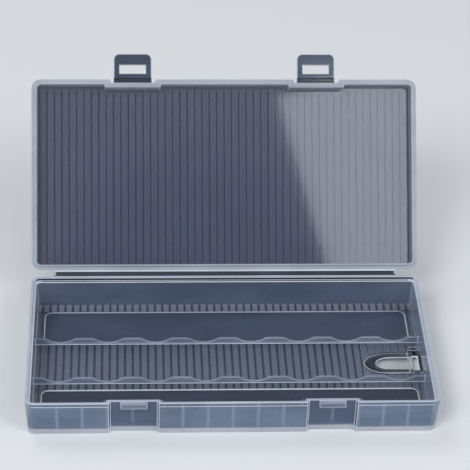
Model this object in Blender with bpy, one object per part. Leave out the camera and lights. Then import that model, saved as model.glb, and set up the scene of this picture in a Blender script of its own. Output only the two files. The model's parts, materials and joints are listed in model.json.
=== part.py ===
# Storage box for a row of round cells, standing open. The tray and the lid are one clear
# moulding joined by a living hinge, with two latch tabs on film hinges at the lid's front.
# A separate clear loop lies in the tray's underside and swings out to hang the box up.
# Metres, +X to the right, +Y to the back, +Z up. The box stands on z = 0.

from math import acos, cos, hypot, pi, radians, sin, tan

import bmesh
import bpy
from mathutils import Matrix, Vector

mm = 0.001

# Cells that the box holds, side by side, and the room round them
cell_count = 8
cell_diameter = 18.5 * mm
cell_length = 70 * mm
cell_pitch = 18.83 * mm
cell_side_play = 0.38 * mm
cell_end_play = 1.2 * mm
cell_head_play = 0.4 * mm

# Walls, shared by the tray and the lid
wall_foot = 2.3 * mm
rim_band = 2.2 * mm
lip_width = 1.1 * mm
lip_height = 1.3 * mm
corner_radius = 3.75 * mm
least_corner_radius = 0.8 * mm
edge_round = 0.8 * mm
running_gap = 0.3 * mm

# Tray
tray_height = 15.8 * mm
tray_draft = 0.95 * mm
foot_depth = 1.8 * mm
foot_flat = 0.55 * mm
floor_thickness = 1.2 * mm
window_depth = 0.45 * mm
window_rib_gap = 0.25 * mm
window_front_near = 14.9 * mm
window_far = 32.5 * mm
window_end_margin = 5.25 * mm
window_corner = 3 * mm
rib_offset = 11.75 * mm
rib_thickness = 1 * mm
rib_height = 2.7 * mm
cell_rise = 0.6 * mm
wall_rib_width = 1 * mm
wall_rib_depth = 0.4 * mm

# Fine flutes in the faces that look outward
flute_count = 50
flute_pitch = 3 * mm
flute_width = 0.5 * mm
flute_depth = 0.3 * mm
flute_end_margin = 0.3 * mm

# Lid
lid_plate = 1.1 * mm
lid_draft = 0.5 * mm
tongue_height = 1 * mm
lid_flute_front_margin = 4 * mm
lid_flute_back_margin = 2.8 * mm
lid_flute_shift = -1.5 * mm
open_angle = radians(128.9)

# Living hinge between the tray and the lid
hinge_length = 138.4 * mm
hinge_reach = 3 * mm
hinge_film = 0.5 * mm

# Latches: recesses in the front walls, catches on the tray, tabs on the lid
latch_offset = 37.2 * mm
recess_width = 17.6 * mm
recess_depth = 1.3 * mm
recess_slope = 0.6 * mm
catch_width = 10.1 * mm
catch_height = 2.8 * mm
catch_drop = 0.2 * mm
catch_setback = 0.1 * mm
tab_width = 15.3 * mm
tab_thickness = 1.2 * mm
tab_root_bar = 2 * mm
tab_tip_bar = 4.6 * mm
tab_tip_radius = 2.3 * mm
slot_corner = 0.4 * mm
slot_play = 0.2 * mm
latch_film_length = 2.1 * mm
latch_film_thickness = 0.4 * mm

# Hanging loop, and its seat in the tray's underside
pivot_inset = 4.2 * mm
pivot_height = 1.3 * mm
pin_radius = 0.6 * mm
pin_play = 0.25 * mm
pin_reach = 2.65 * mm
loop_width = 12 * mm
loop_reach = 20.8 * mm
loop_thickness = 1.3 * mm
loop_arm = 2.7 * mm
loop_tip_pad = 5.1 * mm
loop_tip_length = 9 * mm
loop_eye_length = 5 * mm
loop_corner = 1 * mm
loop_tail = 2.8 * mm
loop_tail_bar = 2.1 * mm
loop_crossbar = 1.1 * mm
loop_slot_length = 1.8 * mm
loop_side_bar = 2.1 * mm
seat_play = 0.4 * mm
boss_wall = 0.9 * mm

# Steps in the round shapes, how far a cutter runs past its cut, and how close points merge
corner_steps = 5
edge_steps = 3
dip_steps = 6
loop_steps = 8
film_steps = 6
pin_sides = 16
cut_over = 2 * mm
merge_distance = 0.001 * mm

# Sizes that follow from those above
case_length = cell_count * cell_pitch + 2 * (cell_side_play + wall_foot)
case_depth = cell_length + 2 * (cell_end_play + wall_foot)
floor_top = foot_depth + floor_thickness
foot_inset = tray_draft + edge_round + foot_flat
shelf_height = tray_height - lip_height
lid_base = tray_height + running_gap
cell_top = floor_top + cell_rise + cell_diameter
lid_height = cell_top + cell_head_play + lid_plate - lid_base
hinge_axis_y = case_depth / 2 + hinge_reach / 2
hinge_axis_z = tray_height + running_gap / 2
catch_top = tray_height - catch_drop
slot_length = catch_height + 3 * slot_play
slot_width = catch_width + 2 * slot_play
tab_length = tab_root_bar + slot_length + tab_tip_bar
latch_axis_z = catch_top + slot_play + tab_root_bar + latch_film_length / 2
latch_face_inset = recess_depth + lid_draft * (latch_axis_z - lid_base) / lid_height
latch_axis_y = -case_depth / 2 + latch_face_inset - latch_film_length / 2
pivot_x = case_length / 2 - pivot_inset
seat_half_width = loop_width / 2 + seat_play
seat_roof = pivot_height + loop_thickness / 2 + running_gap
bore_radius = pin_radius + pin_play
swing_radius = hypot(loop_tail, loop_thickness / 2) + running_gap


def make_collection(name):
    collection = bpy.data.collections.new(name)
    bpy.context.scene.collection.children.link(collection)
    return collection


def make_object(name, mesh, collection):
    result = bpy.data.objects.new(name, mesh)
    collection.objects.link(result)
    return result


def finish_mesh(name, bm, collection):
    mesh = bpy.data.meshes.new(name)
    bm.to_mesh(mesh)
    bm.free()
    return make_object(name, mesh, collection)


def make_boxes(name, corner_pairs, collection):
    """One mesh of separate boxes, each given by its low and its high corner."""
    bm = bmesh.new()
    for low, high in corner_pairs:
        size = Vector(high) - Vector(low)
        middle = (Vector(high) + Vector(low)) / 2
        place = Matrix.Translation(middle) @ Matrix.Diagonal((*size, 1))
        bmesh.ops.create_cube(bm, size=1, matrix=place)
    return finish_mesh(name, bm, collection)


def make_rod(name, radius, start, end, collection):
    """A round rod between two points."""
    run = Vector(end) - Vector(start)
    turn = run.to_track_quat("Z", "Y").to_matrix().to_4x4()
    place = Matrix.Translation((Vector(start) + Vector(end)) / 2) @ turn
    bm = bmesh.new()
    bmesh.ops.create_cone(
        bm,
        cap_ends=True,
        segments=pin_sides,
        radius1=radius,
        radius2=radius,
        depth=run.length,
        matrix=place,
    )
    return finish_mesh(name, bm, collection)


def arc(centre, radii, start, end, steps):
    """Points along an arc, from its centre, its X and Y radii and its two angles."""
    angles = [start + (end - start) * step / steps for step in range(steps + 1)]
    return [(centre[0] + radii[0] * cos(a), centre[1] + radii[1] * sin(a)) for a in angles]


def rounded_rectangle(low, high, radius):
    """Outline of a rectangle with round corners, counterclockwise from its low right corner."""
    left, right = low[0] + radius, high[0] - radius
    near, far = low[1] + radius, high[1] - radius
    centres = ((right, near), (right, far), (left, far), (left, near))
    points = []
    for quarter, centre in enumerate(centres):
        start = (quarter - 1) * pi / 2
        points += arc(centre, (radius, radius), start, start + pi / 2, corner_steps)
    return points


def make_plate(name, outlines, thickness, collection):
    """A flat plate on the XY plane, centred on z = 0. An outline inside another is a hole."""
    curve = bpy.data.curves.new(name, "CURVE")
    curve.dimensions = "2D"
    curve.fill_mode = "BOTH"
    curve.extrude = thickness / 2
    for outline in outlines:
        spline = curve.splines.new("POLY")
        spline.points.add(len(outline) - 1)
        for point, (x, y) in zip(spline.points, outline):
            point.co = (x, y, 0, 1)
        spline.use_cyclic_u = True
    drawn = make_object(name, curve, collection)
    depsgraph = bpy.context.evaluated_depsgraph_get()
    bm = bmesh.new()
    bm.from_mesh(bpy.data.meshes.new_from_object(drawn.evaluated_get(depsgraph)))
    bpy.data.objects.remove(drawn)
    bmesh.ops.remove_doubles(bm, verts=bm.verts, dist=merge_distance)
    bmesh.ops.recalc_face_normals(bm, faces=bm.faces)
    return finish_mesh(name, bm, collection)


def make_upright_plate(name, outlines, thickness, y, collection):
    """A plate that stands across Y, its outlines given as points in X and Z."""
    plate = make_plate(name, outlines, thickness, collection)
    plate.location.y = y
    plate.rotation_euler.x = pi / 2
    return plate


def case_outline(inset, recess_play):
    """Plan of the case, drawn in by an inset, with its two latch recesses at the front."""
    right = case_length / 2 - inset
    back = case_depth / 2 - inset
    points = []
    for centre in (-latch_offset, latch_offset):
        half = recess_width / 2 + recess_play
        points.append((centre - half - recess_slope, -back))
        points.append((centre - half, recess_depth - back))
        points.append((centre + half, recess_depth - back))
        points.append((centre + half + recess_slope, -back))
    radius = max(corner_radius - inset, least_corner_radius)
    return points + rounded_rectangle((-right, -back), (right, back), radius)


def loft_case(name, sections, collection, upright_recess=False):
    """A solid through the case's plan at several insets and heights, the lowest first."""
    bm = bmesh.new()
    rings = []
    for inset, z in sections:
        outline = case_outline(inset, 0 if upright_recess else inset)
        rings.append([bm.verts.new((x, y, z)) for x, y in outline])
    for low, high in zip(rings, rings[1:]):
        for index in range(len(low)):
            bm.faces.new((low[index - 1], low[index], high[index], high[index - 1]))
    bm.faces.new(reversed(rings[0]))
    bm.faces.new(rings[-1])
    return finish_mesh(name, bm, collection)


def rounded_edge(draft):
    """Insets and depths of a wall's round far edge, counted from the case's flat face."""
    sections = []
    for step in range(edge_steps + 1):
        angle = pi / 2 * step / edge_steps
        sections.append((draft + edge_round * (1 - sin(angle)), edge_round * (1 - cos(angle))))
    return sections


def boolean(target, operation, other):
    """Cut or join with a shape in the target's own frame, which stays out of the model."""
    other.hide_render = True
    other.display_type = "WIRE"
    modifier = target.modifiers.new(other.name, "BOOLEAN")
    modifier.operation = operation
    modifier.object = other
    other.parent = target


def cut(target, other):
    boolean(target, "DIFFERENCE", other)


def join(target, other):
    boolean(target, "UNION", other)


def give_material(target, name, colour, roughness, alpha):
    material = bpy.data.materials.new(name)
    material.use_nodes = True
    shader = material.node_tree.nodes["Principled BSDF"]
    shader.inputs["Base Color"].default_value = (*colour, 1)
    shader.inputs["Roughness"].default_value = roughness
    shader.inputs["Metallic"].default_value = 0
    shader.inputs["Alpha"].default_value = alpha
    target.data.materials.append(material)


def front_face(x, inset):
    """How far forward the case's plan, drawn in by an inset, reaches at some x."""
    near_recess = abs(abs(x) - latch_offset) < recess_width / 2 + recess_slope + inset
    return inset - case_depth / 2 + (recess_depth if near_recess else 0)


def make_flutes(name, shift, insets, low, high, collection):
    """Cutter for the flutes, which run from front to back at an even pitch."""
    front_inset, back_inset = insets
    pairs = []
    for index in range(flute_count):
        x = shift + (index - (flute_count - 1) / 2) * flute_pitch
        left, right = x - flute_width / 2, x + flute_width / 2
        back = case_depth / 2 - back_inset
        pairs.append(((left, front_face(x, front_inset), low), (right, back, high)))
    return make_boxes(name, pairs, collection)


def make_window(name, front, back, collection):
    """Cutter for a smooth panel sunk in the tray's fluted underside."""
    half = case_length / 2 - window_end_margin
    outline = rounded_rectangle((-half, front), (half, back), window_corner)
    panel = make_plate(name, [outline], 2 * window_depth, collection)
    panel.location.z = foot_depth
    return panel


def make_cradle_rib(name, y, collection):
    """Rib across the floor from end wall to end wall, with a round dip for each cell."""
    reach = (case_length - wall_foot) / 2
    sunk = floor_top - floor_thickness / 2
    crest = floor_top + rib_height
    radius = cell_diameter / 2
    axis = floor_top + cell_rise + radius
    swing = acos((axis - crest) / radius)
    outline = [(-reach, sunk), (reach, sunk), (reach, crest)]
    for index in reversed(range(cell_count)):
        x = (index - (cell_count - 1) / 2) * cell_pitch
        outline += arc((x, axis), (radius, radius), swing - pi / 2, -swing - pi / 2, dip_steps)
    outline.append((-reach, crest))
    return make_upright_plate(name, [outline], rib_thickness, y, collection)


def make_wall_ribs(collection):
    """Upright ribs inside the front wall, one at each cell and one between cells."""
    half_pitch = cell_pitch / 2
    pairs = []
    for index in range(1 - cell_count, cell_count):
        x = index * half_pitch
        face = front_face(x, wall_foot)
        low = (x - wall_rib_width / 2, face - wall_rib_depth, floor_top - floor_thickness / 2)
        high = (x + wall_rib_width / 2, face + wall_rib_depth, shelf_height - running_gap)
        pairs.append((low, high))
    return make_boxes("wall_ribs", pairs, collection)


def make_catches(collection):
    """Bars in the tray's recesses that the latch tabs' slots close over."""
    pairs = []
    for centre in (-latch_offset, latch_offset):
        low = (centre - catch_width / 2, catch_setback - case_depth / 2, catch_top - catch_height)
        root = recess_depth + lip_width / 2 - case_depth / 2
        pairs.append((low, (centre + catch_width / 2, root, catch_top)))
    return make_boxes("catches", pairs, collection)


def make_bosses(collection):
    """Blocks under the floor that hold the loop's pins, at either side of its seat."""
    start = pivot_x - bore_radius - boss_wall
    end = (case_length + foot_flat) / 2 - foot_inset
    outer = seat_half_width + pin_reach + boss_wall
    pairs = []
    for low_y, high_y in ((-outer, -seat_half_width), (seat_half_width, outer)):
        pairs.append(((start, low_y, 0), (end, high_y, floor_top - flute_depth)))
    return make_boxes("bosses", pairs, collection)


def loop_outline(play):
    """Outer edge of the hanging loop, with its pivot at x = 0 and its round tip at -x."""
    half = loop_width / 2 + play
    tip_centre = loop_tip_length - loop_reach
    radius = loop_corner + play
    tail = loop_tail + play - radius
    points = arc((tip_centre, 0), (loop_tip_length + play, half), pi / 2, 1.5 * pi, loop_steps)
    points += arc((tail, radius - half), (radius, radius), -pi / 2, 0, corner_steps)
    points += arc((tail, half - radius), (radius, radius), 0, pi / 2, corner_steps)
    return points


def make_seat(collection):
    """Cutters for the loop's seat: its pocket, its way out as it swings, its pins' bores."""
    pocket = make_plate("loop_pocket", [loop_outline(seat_play)], 2 * seat_roof, collection)
    pocket.location.x = pivot_x
    outside = case_length / 2 + cut_over
    wall_angle = acos((pivot_inset - wall_foot - running_gap) / swing_radius)
    outline = [(pivot_x - swing_radius, -cut_over), (outside, -cut_over)]
    outline.append((outside, pivot_height + swing_radius * sin(wall_angle)))
    radii = (swing_radius, swing_radius)
    outline += arc((pivot_x, pivot_height), radii, wall_angle, pi, loop_steps)
    way_out = make_upright_plate("loop_way_out", [outline], 2 * seat_half_width, 0, collection)
    start = (pivot_x, -seat_half_width - pin_reach, pivot_height)
    end = (pivot_x, seat_half_width + pin_reach, pivot_height)
    return pocket, way_out, make_rod("pin_bores", bore_radius, start, end, collection)


def make_tray(parts, cutters):
    outer = [*rounded_edge(tray_draft), (0, tray_height)]
    tray = loft_case("base_tray", outer, parts, upright_recess=True)
    inside = [(wall_foot, floor_top), (rim_band, shelf_height), (rim_band, tray_height + cut_over)]
    cut(tray, loft_case("tray_inside", inside, cutters))
    step = [(lip_width, shelf_height), (lip_width, tray_height + cut_over)]
    cut(tray, loft_case("rim_step", step, cutters))
    under = [(foot_inset, -cut_over), (foot_inset, foot_depth)]
    cut(tray, loft_case("under_recess", under, cutters))
    flute_inset = foot_inset + flute_end_margin
    flute_top = foot_depth + flute_depth
    flutes = make_flutes("under_flutes", 0, (flute_inset, flute_inset), 0, flute_top, cutters)
    cut(tray, flutes)
    behind_rib = rib_offset + rib_thickness / 2 + window_rib_gap
    cut(tray, make_window("back_window", behind_rib, window_far, cutters))
    cut(tray, make_window("front_window", -window_far, -window_front_near, cutters))
    join(tray, make_cradle_rib("back_rib", rib_offset, cutters))
    join(tray, make_cradle_rib("front_rib", -rib_offset, cutters))
    join(tray, make_wall_ribs(cutters))
    join(tray, make_catches(cutters))
    join(tray, make_bosses(cutters))
    for cutter in make_seat(cutters):
        cut(tray, cutter)
    give_material(tray, "tray_plastic", (0.72, 0.78, 0.86), 0.22, 0.4)
    return tray


def make_lid(parts, cutters):
    """The lid, with its rim on z = 0 and its top up, as when it is closed."""
    top = [(inset, lid_height - depth) for inset, depth in reversed(rounded_edge(lid_draft))]
    lid = loft_case("lid", [(0, 0), *top], parts)
    inside = [(rim_band, -cut_over), (rim_band, 0), (wall_foot, lid_height - lid_plate)]
    cut(lid, loft_case("lid_inside", inside, cutters))
    tongue_outer = lip_width + running_gap
    tongue = loft_case("tongue", [(tongue_outer, -tongue_height), (tongue_outer, lip_width)], cutters)
    tongue_inside = [(rim_band, -tongue_height - cut_over), (rim_band, lip_width + cut_over)]
    cut(tongue, loft_case("tongue_inside", tongue_inside, cutters))
    join(lid, tongue)
    margins = (lid_flute_front_margin, lid_flute_back_margin)
    low, high = lid_height - flute_depth, lid_height + flute_depth
    cut(lid, make_flutes("lid_flutes", lid_flute_shift, margins, low, high, cutters))
    give_material(lid, "lid_plastic", (0.7, 0.76, 0.85), 0.16, 0.35)
    return lid


def make_hinge_film(parts):
    """The living hinge's thin strip, bent round the angle between the two rims."""
    bend = pi - open_angle
    drop = running_gap / 2 + hinge_film / 2
    free = hinge_reach / 2 - running_gap
    rise = free / tan(bend / 2)
    radius = rise + drop
    outer, inner = radius + hinge_film / 2, radius - hinge_film / 2
    start = -pi / 2
    outline = arc((-free, rise), (outer, outer), start, start + bend, film_steps)
    outline += arc((-free, rise), (inner, inner), start + bend, start, film_steps)
    film = make_plate("lid_hinge_film", [outline], hinge_length, parts)
    film.data.transform(Matrix(((0, 0, 1, 0), (1, 0, 0, 0), (0, 1, 0, 0), (0, 0, 0, 1))))
    give_material(film, "hinge_plastic", (0.62, 0.66, 0.74), 0.3, 0.4)
    return film


def make_latch_tab(name, parts):
    """A tab lying flat as moulded, with its film hinge's axis at its origin and its tip at -y."""
    root = -latch_film_length / 2
    tip = root - tab_length
    half = tab_width / 2
    left_tip = (tab_tip_radius - half, tip + tab_tip_radius)
    right_tip = (half - tab_tip_radius, tip + tab_tip_radius)
    radii = (tab_tip_radius, tab_tip_radius)
    edge = [(half, root), (-half, root)]
    edge += arc(left_tip, radii, pi, 1.5 * pi, corner_steps)
    edge += arc(right_tip, radii, 1.5 * pi, 2 * pi, corner_steps)
    slot_near = root - tab_root_bar
    slot_far = slot_near - slot_length
    low, high = (-slot_width / 2, slot_far), (slot_width / 2, slot_near)
    slot = rounded_rectangle(low, high, slot_corner)
    tab = make_plate(name, [edge, slot], tab_thickness, parts)
    give_material(tab, name + "_plastic", (0.74, 0.8, 0.87), 0.22, 0.45)
    return tab


def make_latch_film(name, parts):
    """The thin web that lets a latch tab fold."""
    reach = latch_film_length / 2 - running_gap
    high = (tab_width / 2, reach, latch_film_thickness / 2)
    film = make_boxes(name, [([-value for value in high], high)], parts)
    give_material(film, name + "_plastic", (0.62, 0.66, 0.74), 0.3, 0.4)
    return film


def make_loop(parts, cutters):
    """The hanging loop, with its pins on its origin's Y axis."""
    eye_half = loop_width / 2 - loop_arm
    eye_start = loop_tip_pad - loop_reach
    eye_end = loop_tail - loop_tail_bar - loop_slot_length - loop_crossbar
    eye_centre = (eye_start + loop_eye_length, 0)
    eye = arc(eye_centre, (loop_eye_length, eye_half), pi / 2, 1.5 * pi, loop_steps)
    eye += [(eye_end, -eye_half), (eye_end, eye_half)]
    slot_half = loop_width / 2 - loop_side_bar
    slot_end = loop_tail - loop_tail_bar
    slot_start = slot_end - loop_slot_length
    slot = [(slot_start, -slot_half), (slot_end, -slot_half)]
    slot += [(slot_end, slot_half), (slot_start, slot_half)]
    loop = make_plate("hanger_loop", [loop_outline(0), eye, slot], loop_thickness, parts)
    for side, name in ((-1, "front_pin"), (1, "back_pin")):
        start = side * (loop_width / 2 - loop_side_bar / 2)
        end = side * (seat_half_width + pin_reach - running_gap)
        join(loop, make_rod(name, pin_radius, (0, start, 0), (0, end, 0), cutters))
    give_material(loop, "loop_plastic", (0.9, 0.93, 0.96), 0.05, 0.3)
    return loop


def make_axis(name, place, parts, parent):
    """An empty on a joint's axis, which carries what turns about it."""
    axis = make_object(name, None, parts)
    axis.location = place
    axis.parent = parent
    return axis


def world_corners(parts):
    """Lowest and highest corner of all solids as they stand."""
    depsgraph = bpy.context.evaluated_depsgraph_get()
    places = []
    for solid in parts.objects:
        if solid.type == "MESH":
            shown = solid.evaluated_get(depsgraph)
            places += [shown.matrix_world @ vertex.co for vertex in shown.data.vertices]
    low = Vector([min(place[axis] for place in places) for axis in range(3)])
    high = Vector([max(place[axis] for place in places) for axis in range(3)])
    return low, high


def build():
    for old in list(bpy.data.objects):
        bpy.data.objects.remove(old)
    parts = make_collection("battery_storage_box")
    cutters = make_collection("cutters")

    case = make_axis("case_centre", (0, 0, 0), parts, None)
    tray = make_tray(parts, cutters)
    tray.parent = case

    hinge = make_axis("lid_hinge_axis", (0, hinge_axis_y, hinge_axis_z), parts, case)
    lid_turn = make_axis("lid_turn", (0, 0, 0), parts, hinge)
    lid_turn.rotation_euler.x = -open_angle
    lid = make_lid(parts, cutters)
    lid.location = (0, -hinge_axis_y, lid_base - hinge_axis_z)
    lid.parent = lid_turn
    film = make_hinge_film(parts)
    film.parent = hinge

    for side, centre in (("left", -latch_offset), ("right", latch_offset)):
        place = (centre, latch_axis_y - hinge_axis_y, latch_axis_z - hinge_axis_z)
        axis = make_axis("latch_axis_" + side, place, parts, lid_turn)
        make_latch_tab("latch_tab_" + side, parts).parent = axis
        make_latch_film("latch_film_" + side, parts).parent = axis

    loop = make_loop(parts, cutters)
    loop.location = (pivot_x, 0, pivot_height)
    loop.parent = case

    # The origin goes under the middle of the whole open box
    bpy.context.view_layer.update()
    low, high = world_corners(parts)
    case.location.y = -(low.y + high.y) / 2
    bpy.context.view_layer.update()
    print("case centre", case.location, "lid hinge", hinge.matrix_world.translation)


build()
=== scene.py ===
import json
from math import cos, pi, radians, sin, tan

import bpy
from mathutils import Matrix, Vector
from mathutils.geometry import intersect_point_line


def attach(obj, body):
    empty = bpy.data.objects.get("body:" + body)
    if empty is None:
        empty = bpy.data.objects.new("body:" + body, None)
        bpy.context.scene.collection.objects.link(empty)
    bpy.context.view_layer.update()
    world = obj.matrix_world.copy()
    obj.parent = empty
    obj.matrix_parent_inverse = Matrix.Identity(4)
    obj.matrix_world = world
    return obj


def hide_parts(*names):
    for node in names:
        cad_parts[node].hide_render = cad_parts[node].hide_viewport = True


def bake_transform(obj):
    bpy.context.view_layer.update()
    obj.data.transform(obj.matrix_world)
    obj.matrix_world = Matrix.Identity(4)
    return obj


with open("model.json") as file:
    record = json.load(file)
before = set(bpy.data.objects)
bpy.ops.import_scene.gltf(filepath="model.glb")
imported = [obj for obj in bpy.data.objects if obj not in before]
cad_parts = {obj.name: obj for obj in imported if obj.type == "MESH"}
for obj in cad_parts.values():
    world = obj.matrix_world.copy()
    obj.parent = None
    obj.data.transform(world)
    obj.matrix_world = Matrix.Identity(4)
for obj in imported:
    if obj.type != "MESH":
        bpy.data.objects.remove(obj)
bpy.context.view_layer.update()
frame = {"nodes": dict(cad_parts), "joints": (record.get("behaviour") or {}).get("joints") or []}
scene = bpy.context.scene
mm = 0.001
mergeDistance = 0.002 * mm
slight, tiny = 0.02 * mm, 0.05 * mm  # how close to a level a place still counts as on it
print("frame loaded")


# The lid's own directions as it stands open, measured from the hinge's axis

openAngle = radians(128.9)
hingeAxis = Vector(frame["joints"][0]["pos_m"])
latchAxes = [Vector(joint["pos_m"]) for joint in frame["joints"][1:3]]
lidTurn = Matrix.Rotation(-openAngle, 4, "X")
towardsLatches = lidTurn @ Vector((0, -1, 0))
outOfLid = lidTurn @ Vector((0, 0, 1))


def lidPlace(point):
    offset = Vector(point) - hingeAxis
    return offset.x, offset.dot(towardsLatches), offset.dot(outOfLid)


# Selecting, copying and placing

def clearSelection():
    if bpy.context.mode != "OBJECT":
        bpy.ops.object.mode_set(mode="OBJECT")
    bpy.ops.object.select_all(action="DESELECT")


def pick(piece):
    clearSelection()
    piece.select_set(True)
    bpy.context.view_layer.objects.active = piece


def editWith(piece, test, kind="FACE"):  # opens edit mode with only what passes the test selected
    pick(piece)
    bpy.ops.object.mode_set(mode="EDIT")
    bpy.ops.mesh.select_mode(type=kind)
    bpy.ops.mesh.select_all(action="DESELECT")
    bpy.ops.object.mode_set(mode="OBJECT")
    mesh = piece.data
    if kind == "FACE":
        for face in mesh.polygons:
            face.select = test(face.center, face.normal)
    elif kind == "EDGE":
        for edge in mesh.edges:
            first, second = (mesh.vertices[index].co for index in edge.vertices)
            edge.select = test(first, second)
    else:
        for vertex in mesh.vertices:
            vertex.select = test(vertex.co)
    bpy.ops.object.mode_set(mode="EDIT")


def selectEdges(piece, sides, test):  # the test sees an edge's ends and the faces beside it
    vertices = piece.data.vertices
    chosen = {
        key for key, pair in sides.items()
        if test(vertices[key[0]].co, vertices[key[1]].co, pair)
    }
    editWith(piece, lambda first, second: False, "EDGE")
    bpy.ops.object.mode_set(mode="OBJECT")
    for edge in piece.data.edges:
        edge.select = edge.key in chosen
    bpy.ops.object.mode_set(mode="EDIT")


def editAll(piece):
    pick(piece)
    bpy.ops.object.mode_set(mode="EDIT")
    bpy.ops.mesh.select_all(action="SELECT")


def cutFaces(piece, test, point, direction, threshold=0.1 * mm):
    editWith(piece, test)
    bpy.ops.mesh.bisect(plane_co=point, plane_no=direction, threshold=threshold)


def settle(piece):  # its place goes into its mesh
    pick(piece)
    bpy.ops.object.transform_apply(location=True, rotation=True, scale=True)
    return piece


def dress(piece, finishes):
    for name in finishes:
        piece.data.materials.append(bpy.data.materials[name])


def finishFaces(piece, finish, test):
    slot = piece.data.materials.find(finish)
    for face in piece.data.polygons:
        if test(face.center, face.normal):
            face.material_index = slot


# A CAD solid's triangles as one closed mesh of flat faces. The cuts part a face with a hole in it.
def solidCopy(node, name, finishes, cuts=()):
    piece = bpy.data.objects.new(name, frame["nodes"][node].data.copy())
    scene.collection.objects.link(piece)
    piece.data.materials.clear()
    dress(piece, finishes)
    pick(piece)
    bpy.ops.mesh.customdata_custom_splitnormals_clear()
    editAll(piece)
    bpy.ops.mesh.remove_doubles(threshold=mergeDistance)
    bpy.ops.mesh.faces_shade_flat()
    for test, point, direction in cuts:
        cutFaces(piece, test, point, direction, mergeDistance)
    bpy.ops.object.mode_set(mode="OBJECT")
    for face in piece.data.polygons:  # faces on the two sides of a cut stay apart
        sides = [(face.center - Vector(point)).dot(direction) > 0
                 for test, point, direction in cuts if test(face.center, face.normal)]
        face.material_index = sum(sides) % 2
    editAll(piece)
    bpy.ops.mesh.dissolve_limited(angle_limit=radians(0.5), delimit={"MATERIAL"})
    bpy.ops.object.mode_set(mode="OBJECT")
    finishFaces(piece, finishes[0], lambda p, n: True)
    return piece


def roomBetween(first, second):  # the least distance between two edges that don't meet
    gaps = []
    for one, other in ((first, second), (second, first)):
        for point in one:
            near, share = intersect_point_line(point, *other)
            near = other[0] if share < 0 else other[1] if share > 1 else near
            gaps.append((point - near).length)
    return min(gaps)


def facesByEdge(mesh):
    sides = {}
    for face in mesh.polygons:
        for key in face.edge_keys:
            sides.setdefault(key, []).append(face)
    return sides


def isHollow(pair):  # two faces that meet in an inner corner
    return (pair[1].center - pair[0].center).dot(pair[0].normal) > 0


def roundShares(piece, width, angle, hollows):  # how much of its round each sharp edge has room for
    mesh = piece.data
    limit = radians(angle)
    roomShare = 0.42  # of the room between two edges, for the round of each
    shares = {
        key: 1.0 for key, pair in facesByEdge(mesh).items()
        if len(pair) == 2 and pair[0].normal.angle(pair[1].normal, 0) > limit
        and (hollows or not isHollow(pair))
    }
    for face in mesh.polygons:
        sharp = []
        corners = list(face.vertices)
        for start, end in zip(corners, corners[1:] + corners[:1]):
            key = (min(start, end), max(start, end))
            if key in shares:
                ends = mesh.vertices[start].co, mesh.vertices[end].co
                sharp.append((key, ends, face.normal.cross(ends[1] - ends[0]).normalized()))
        for place, (key, edge, inward) in enumerate(sharp):
            for otherKey, otherEdge, otherInward in sharp[:place]:
                if set(key) & set(otherKey) or inward.dot(otherInward) > 0.5:
                    continue
                share = roomBetween(edge, otherEdge) * roomShare / width
                if share < 1:
                    shares[key] = min(shares[key], share)
                    shares[otherKey] = min(shares[otherKey], share)
    return shares


def roundEdges(piece, width, finish, segments=2, angle=28, most=None, hollows=True):
    pick(piece)
    shares = roundShares(piece, width, angle, hollows)
    weights = piece.data.attributes.new("bevel_weight_edge", "FLOAT", "EDGE").data
    for edge in piece.data.edges:
        ends = [piece.data.vertices[index].co for index in edge.vertices]
        weights[edge.index].value = min(shares.get(edge.key, 0), most(*ends) if most else 1)
    rounding = piece.modifiers.new("roundedEdges", "BEVEL")
    rounding.width = width
    rounding.segments = segments
    rounding.limit_method = "WEIGHT"
    rounding.use_clamp_overlap = False
    rounding.material = piece.data.materials.find(finish)
    bpy.ops.object.modifier_apply(modifier=rounding.name)
    piece.data.attributes.remove(piece.data.attributes["bevel_weight_edge"])
    smoothRounds(piece, 40)


def smoothRounds(piece, angle):  # flat faces stay flat, and the rounds between them shade smoothly
    pick(piece)
    bpy.ops.object.shade_smooth_by_angle(angle=radians(angle))
    weigh = piece.modifiers.new("weighedNormals", "WEIGHTED_NORMAL")
    weigh.weight = 100
    weigh.keep_sharp = True
    bpy.ops.object.modifier_apply(modifier=weigh.name)


# Effects that several finishes share

def addNode(tree, kind, place, inputs=None, **settings):  # an input is a value or another's output
    node = tree.nodes.new(kind)
    node.location = place
    for name, value in settings.items():
        setattr(node, name, value)
    for name, value in (inputs or {}).items():
        if isinstance(value, bpy.types.NodeSocket):
            tree.links.new(value, node.inputs[name])
        else:
            node.inputs[name].default_value = value
    return node


def newGroup(name, inputs, outputs):  # gives the group, its inputs and a function for its outputs
    group = bpy.data.node_groups.new(name, "ShaderNodeTree")
    for label, kind, value in (("Vector", "NodeSocketVector", None), *inputs):
        socket = group.interface.new_socket(name=label, in_out="INPUT", socket_type=kind)
        if value is not None:
            socket.default_value = value
    for label in outputs:
        group.interface.new_socket(name=label, in_out="OUTPUT", socket_type="NodeSocketFloat")
    start = addNode(group, "NodeGroupInput", (-900, 0))
    end = addNode(group, "NodeGroupOutput", (700, 0))

    def putOut(**values):
        for label, value in values.items():
            group.links.new(value, end.inputs[label])
        return group

    return group, start.outputs, putOut


def addMath(tree, place, operation, *values):
    node = addNode(tree, "ShaderNodeMath", place, dict(enumerate(values)), operation=operation)
    return node.outputs["Value"]


def addRange(tree, place, value, soft=False, **limits):
    names = {"fromMin": "From Min", "fromMax": "From Max", "toMin": "To Min", "toMax": "To Max"}
    inputs = {names[key]: limit for key, limit in limits.items()}
    node = addNode(tree, "ShaderNodeMapRange", place, {"Value": value, **inputs},
                   interpolation_type="SMOOTHSTEP" if soft else "LINEAR")
    return node.outputs["Result"]


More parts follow.
